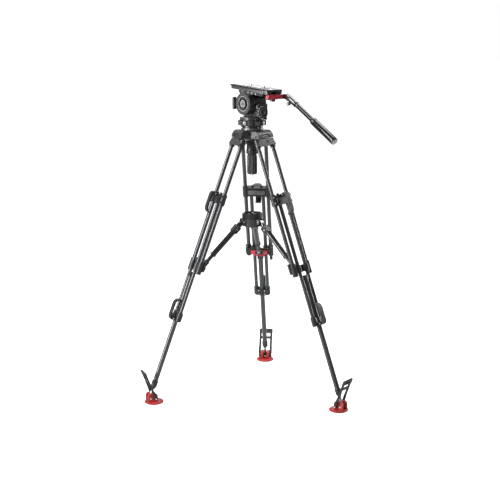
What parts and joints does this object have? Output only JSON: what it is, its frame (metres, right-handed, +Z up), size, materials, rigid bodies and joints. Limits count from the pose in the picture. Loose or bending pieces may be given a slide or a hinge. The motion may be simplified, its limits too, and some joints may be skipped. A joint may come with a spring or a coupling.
{
  "type": "video tripod with fluid head",
  "caption": "Two-stage twin-tube tripod with mid-level spreader, rubber feet, and a half-ball fluid head with long camera plate and pan bar.",
  "frame": {"origin": "on the floor, under the axis of the bowl", "axes": "+Z up; +Y the way the lens points; +X to the operator's right"},
  "size_m": [0.925, 0.8927, 1.3961],
  "materials": {
    "cast_black": "fine satin powder coat",
    "carbon_fibre": "clear coated twill weave",
    "lever_plastic": "moulded",
    "red_rubber": "moulded satin",
    "black_rubber": "moulded matte",
    "arm_tube": "gloss black anodised",
    "red_plastic": "moulded",
    "steel": "turned",
    "hub_metal": "satin",
    "bare_metal": "black anodised",
    "grip_plastic": "moulded",
    "ring_rubber": "moulded",
    "head_satin": "satin black anodised",
    "dial_plastic": "moulded",
    "grey_metal": "satin",
    "plate_metal": "anodised"
  },
  "bodies": {
    "spider": {"spider_bowl": "cast_black", "hinge_bolts": "steel"},
    "hub": {"spreader_hub": "hub_metal"},
    "leg_1": {"leg_1_shoulder_bracket": "cast_black", "leg_1_upper_tubes": "carbon_fibre", "leg_1_spreader_bracket": "cast_black"},
    "middle_1": {"leg_1_upper_clamp": "cast_black", "leg_1_middle_tubes": "carbon_fibre", "leg_1_lower_clamp": "cast_black"},
    "lower_1": {"leg_1_lower_tube": "carbon_fibre"},
    "upper_lever_1": {"leg_1_upper_lever": "lever_plastic"},
    "lower_lever_1": {"leg_1_lower_lever": "lever_plastic"},
    "foot_1": {"leg_1_foot": "red_rubber"},
    "foot_bail_1": {"leg_1_foot_bail": "black_rubber"},
    "inner_arm_1": {"leg_1_spreader_inner_arm": "arm_tube"},
    "outer_arm_1": {"leg_1_spreader_outer_arm": "arm_tube"},
    "release_1": {"leg_1_spreader_release": "red_plastic"},
    "leg_2": {"leg_2_shoulder_bracket": "cast_black", "leg_2_upper_tubes": "carbon_fibre", "leg_2_spreader_bracket": "cast_black"},
    "middle_2": {"leg_2_upper_clamp": "cast_black", "leg_2_middle_tubes": "carbon_fibre", "leg_2_lower_clamp": "cast_black"},
    "lower_2": {"leg_2_lower_tube": "carbon_fibre"},
    "upper_lever_2": {"leg_2_upper_lever": "lever_plastic"},
    "lower_lever_2": {"leg_2_lower_lever": "lever_plastic"},
    "foot_2": {"leg_2_foot": "red_rubber"},
    "foot_bail_2": {"leg_2_foot_bail": "black_rubber"},
    "inner_arm_2": {"leg_2_spreader_inner_arm": "arm_tube"},
    "outer_arm_2": {"leg_2_spreader_outer_arm": "arm_tube"},
    "release_2": {"leg_2_spreader_release": "red_plastic"},
    "leg_3": {"leg_3_shoulder_bracket": "cast_black", "leg_3_upper_tubes": "carbon_fibre", "leg_3_spreader_bracket": "cast_black"},
    "middle_3": {"leg_3_upper_clamp": "cast_black", "leg_3_middle_tubes": "carbon_fibre", "leg_3_lower_clamp": "cast_black"},
    "lower_3": {"leg_3_lower_tube": "carbon_fibre"},
    "upper_lever_3": {"leg_3_upper_lever": "lever_plastic"},
    "lower_lever_3": {"leg_3_lower_lever": "lever_plastic"},
    "foot_3": {"leg_3_foot": "red_rubber"},
    "foot_bail_3": {"leg_3_foot_bail": "black_rubber"},
    "inner_arm_3": {"leg_3_spreader_inner_arm": "arm_tube"},
    "outer_arm_3": {"leg_3_spreader_outer_arm": "arm_tube"},
    "release_3": {"leg_3_spreader_release": "red_plastic"},
    "ball": {"half_ball": "bare_metal"},
    "tie_down": {"tie_down_handle": "grip_plastic"},
    "pan_ring": {"pan_drag_ring": "ring_rubber"},
    "pan": {"pan_housing": "cast_black"},
    "pan_brake": {"pan_brake_lever": "lever_plastic"},
    "tilt": {"tilt_cradle": "head_satin"},
    "tilt_dial": {"tilt_drag_dial": "dial_plastic"},
    "counterbalance": {"counterbalance_knob": "dial_plastic"},
    "tilt_brake": {"tilt_brake_lever": "grey_metal"},
    "plate": {"camera_plate": "plate_metal", "camera_screws": "steel"},
    "plate_lever": {"plate_release_lever": "red_plastic"},
    "bar_clamp": {"pan_bar_clamp": "cast_black"},
    "bar": {"pan_bar_tube": "carbon_fibre", "pan_bar_grip": "black_rubber"}
  },
  "joints": [
    {"name": "leg_1_fold", "type": "hinge", "parent": "spider", "child": "leg_1", "pos_m": [0.04815, 0.04216, 1.17], "axis": [-0.6587, 0.7524, 0], "range_deg": [0, 17.5]},
    {"name": "leg_2_fold", "type": "hinge", "parent": "spider", "child": "leg_2", "pos_m": [-0.06059, 0.02063, 1.17], "axis": [-0.3223, -0.9466, 0], "range_deg": [0, 17.5]},
    {"name": "leg_3_fold", "type": "hinge", "parent": "spider", "child": "leg_3", "pos_m": [0.01243, -0.06278, 1.17], "axis": [0.981, 0.1942, 0], "range_deg": [0, 17.5]},
    {"name": "leg_1_middle_slide", "type": "slide", "parent": "leg_1", "child": "middle_1", "axis": [0.2623, 0.2296, -0.9373], "range_m": [-0.185, 0.25]},
    {"name": "leg_1_lower_slide", "type": "slide", "parent": "middle_1", "child": "lower_1", "axis": [0.2623, 0.2296, -0.9373], "range_m": [-0.235, 0.155]},
    {"name": "leg_1_upper_lever", "type": "hinge", "parent": "middle_1", "child": "upper_lever_1", "pos_m": [0.13474, 0.11796, 0.92367], "axis": [0.6587, -0.7524, 0], "range_deg": [0, 70]},
    {"name": "leg_1_lower_lever", "type": "hinge", "parent": "middle_1", "child": "lower_lever_1", "pos_m": [0.28712, 0.25136, 0.3791], "axis": [-0.6587, 0.7524, 0], "range_deg": [0, 70]},
    {"name": "leg_1_foot_tilt", "type": "hinge", "parent": "lower_1", "child": "foot_1", "pos_m": [0.37124, 0.32499, 0.024], "axis": [-0.6587, 0.7524, 0], "range_deg": [-14, 18]},
    {"name": "leg_1_bail", "type": "hinge", "parent": "foot_1", "child": "foot_bail_1", "pos_m": [0.35619, 0.31182, 0.024], "axis": [-0.6587, 0.7524, 0], "range_deg": [0, 50]},
    {"name": "leg_1_release", "type": "hinge", "parent": "leg_1", "child": "release_1", "pos_m": [0.18574, 0.1626, 0.58078], "axis": [0.6587, -0.7524, 0], "range_deg": [0, 12], "stiffness_Nm_per_rad": 0.6, "springref_deg": -11.46},
    {"name": "leg_1_outer_arm", "type": "hinge", "parent": "leg_1", "child": "outer_arm_1", "pos_m": [0.18154, 0.15893, 0.59578], "axis": [-0.6587, 0.7524, 0], "range_deg": [0, 25.03]},
    {"name": "leg_1_inner_arm", "type": "hinge", "parent": "hub", "child": "inner_arm_1", "pos_m": [0.03461, 0.0303, 0.79], "axis": [-0.6587, 0.7524, 0], "range_deg": [0, 42.53]},
    {"name": "leg_2_middle_slide", "type": "slide", "parent": "leg_2", "child": "middle_2", "axis": [-0.33, 0.1123, -0.9373], "range_m": [-0.185, 0.25]},
    {"name": "leg_2_lower_slide", "type": "slide", "parent": "middle_2", "child": "lower_2", "axis": [-0.33, 0.1123, -0.9373], "range_m": [-0.235, 0.155]},
    {"name": "leg_2_upper_lever", "type": "hinge", "parent": "middle_2", "child": "upper_lever_2", "pos_m": [-0.16953, 0.05771, 0.92367], "axis": [0.3223, 0.9466, 0], "range_deg": [0, 70]},
    {"name": "leg_2_lower_lever", "type": "hinge", "parent": "middle_2", "child": "lower_lever_2", "pos_m": [-0.36124, 0.12298, 0.3791], "axis": [-0.3223, -0.9466, 0], "range_deg": [0, 70]},
    {"name": "leg_2_foot_tilt", "type": "hinge", "parent": "lower_2", "child": "foot_2", "pos_m": [-0.46707, 0.159, 0.024], "axis": [-0.3223, -0.9466, 0], "range_deg": [-14, 18]},
    {"name": "leg_2_bail", "type": "hinge", "parent": "foot_2", "child": "foot_bail_2", "pos_m": [-0.44814, 0.15256, 0.024], "axis": [-0.3223, -0.9466, 0], "range_deg": [0, 50]},
    {"name": "leg_2_release", "type": "hinge", "parent": "leg_2", "child": "release_2", "pos_m": [-0.23368, 0.07955, 0.58078], "axis": [0.3223, 0.9466, 0], "range_deg": [0, 12], "stiffness_Nm_per_rad": 0.6, "springref_deg": -11.46},
    {"name": "leg_2_outer_arm", "type": "hinge", "parent": "leg_2", "child": "outer_arm_2", "pos_m": [-0.2284, 0.07775, 0.59578], "axis": [-0.3223, -0.9466, 0], "range_deg": [0, 25.03]},
    {"name": "leg_2_inner_arm", "type": "hinge", "parent": "hub", "child": "inner_arm_2", "pos_m": [-0.04355, 0.01482, 0.79], "axis": [-0.3223, -0.9466, 0], "range_deg": [0, 42.53]},
    {"name": "leg_3_middle_slide", "type": "slide", "parent": "leg_3", "child": "middle_3", "axis": [0.0677, -0.3419, -0.9373], "range_m": [-0.185, 0.25]},
    {"name": "leg_3_lower_slide", "type": "slide", "parent": "middle_3", "child": "lower_3", "axis": [0.0677, -0.3419, -0.9373], "range_m": [-0.235, 0.155]},
    {"name": "leg_3_upper_lever", "type": "hinge", "parent": "middle_3", "child": "upper_lever_3", "pos_m": [0.03478, -0.17567, 0.92367], "axis": [-0.981, -0.1942, 0], "range_deg": [0, 70]},
    {"name": "leg_3_lower_lever", "type": "hinge", "parent": "middle_3", "child": "lower_lever_3", "pos_m": [0.07412, -0.37434, 0.3791], "axis": [0.981, 0.1942, 0], "range_deg": [0, 70]},
    {"name": "leg_3_foot_tilt", "type": "hinge", "parent": "lower_3", "child": "foot_3", "pos_m": [0.09583, -0.484, 0.024], "axis": [0.981, 0.1942, 0], "range_deg": [-14, 18]},
    {"name": "leg_3_bail", "type": "hinge", "parent": "foot_3", "child": "foot_bail_3", "pos_m": [0.09195, -0.46438, 0.024], "axis": [0.981, 0.1942, 0], "range_deg": [0, 50]},
    {"name": "leg_3_release", "type": "hinge", "parent": "leg_3", "child": "release_3", "pos_m": [0.04795, -0.24215, 0.58078], "axis": [-0.981, -0.1942, 0], "range_deg": [0, 12], "stiffness_Nm_per_rad": 0.6, "springref_deg": -11.46},
    {"name": "leg_3_outer_arm", "type": "hinge", "parent": "leg_3", "child": "outer_arm_3", "pos_m": [0.04686, -0.23668, 0.59578], "axis": [0.981, 0.1942, 0], "range_deg": [0, 25.03]},
    {"name": "leg_3_inner_arm", "type": "hinge", "parent": "hub", "child": "inner_arm_3", "pos_m": [0.00893, -0.04512, 0.79], "axis": [0.981, 0.1942, 0], "range_deg": [0, 42.53]},
    {"name": "spreader_hub_slide", "type": "slide", "parent": "spider", "child": "hub", "axis": [0, 0, 1], "range_m": [0, 0.047]},
    {"name": "bowl_levelling", "type": "hinge", "parent": "spider", "child": "ball", "pos_m": [0, 0, 1.196], "axis": [1, 0, 0], "range_deg": [-5, 5]},
    {"name": "tie_down_turn", "type": "hinge", "parent": "ball", "child": "tie_down", "pos_m": [0, 0, 1.05], "axis": [0, 0, 1], "range_deg": [-180, 180]},
    {"name": "pan_drag_turn", "type": "hinge", "parent": "ball", "child": "pan_ring", "pos_m": [0, 0, 1.227], "axis": [0, 0, 1], "range_deg": [0, 150]},
    {"name": "pan", "type": "hinge", "parent": "ball", "child": "pan", "pos_m": [0, 0, 1.246], "axis": [0, 0, 1], "continuous": true},
    {"name": "pan_brake", "type": "hinge", "parent": "pan", "child": "pan_brake", "pos_m": [0.04029, -0.04172, 1.246], "axis": [0.6947, -0.7193, 0], "range_deg": [0, 45]},
    {"name": "tilt", "type": "hinge", "parent": "pan", "child": "tilt", "pos_m": [0, 0, 1.311], "axis": [1, 0, 0], "range_deg": [-50, 38]},
    {"name": "tilt_drag_turn", "type": "hinge", "parent": "pan", "child": "tilt_dial", "pos_m": [-0.026, 0, 1.311], "axis": [1, 0, 0], "range_deg": [0, 150]},
    {"name": "counterbalance_turn", "type": "hinge", "parent": "pan", "child": "counterbalance", "pos_m": [0, -0.068, 1.275], "axis": [0, -1, 0], "range_deg": [0, 300]},
    {"name": "tilt_brake", "type": "hinge", "parent": "pan", "child": "tilt_brake", "pos_m": [-0.054, 0.055, 1.291], "axis": [-1, 0, 0], "range_deg": [0, 40]},
    {"name": "plate_slide", "type": "slide", "parent": "tilt", "child": "plate", "axis": [0, 0.9965, 0.0837], "range_m": [-0.05, 0.05]},
    {"name": "plate_release", "type": "hinge", "parent": "tilt", "child": "plate_lever", "pos_m": [-0.024, -0.12916, 1.34331], "axis": [0, 0.0837, -0.9965], "range_deg": [0, 40]},
    {"name": "pan_bar_angle", "type": "hinge", "parent": "tilt", "child": "bar_clamp", "pos_m": [0.056, -0.10117, 1.34465], "axis": [-1, 0, 0], "range_deg": [-15, 40]},
    {"name": "pan_bar_slide", "type": "slide", "parent": "bar_clamp", "child": "bar", "axis": [0, -0.8536, -0.521], "range_m": [0, 0.05]}
  ],
  "couplings": [
    {"joint": "leg_2_fold", "follows": "leg_1_fold", "ratio": 1},
    {"joint": "leg_3_fold", "follows": "leg_1_fold", "ratio": 1},
    {"joint": "leg_1_outer_arm", "follows": "leg_1_fold", "ratio": 1.4132},
    {"joint": "leg_1_inner_arm", "follows": "leg_1_fold", "ratio": 2.4132},
    {"joint": "leg_2_outer_arm", "follows": "leg_1_fold", "ratio": 1.4132},
    {"joint": "leg_2_inner_arm", "follows": "leg_1_fold", "ratio": 2.4132},
    {"joint": "leg_3_outer_arm", "follows": "leg_1_fold", "ratio": 1.4132},
    {"joint": "leg_3_inner_arm", "follows": "leg_1_fold", "ratio": 2.4132},
    {"joint": "spreader_hub_slide", "follows": "leg_1_fold", "m_per_rad": 0.15224}
  ]
}
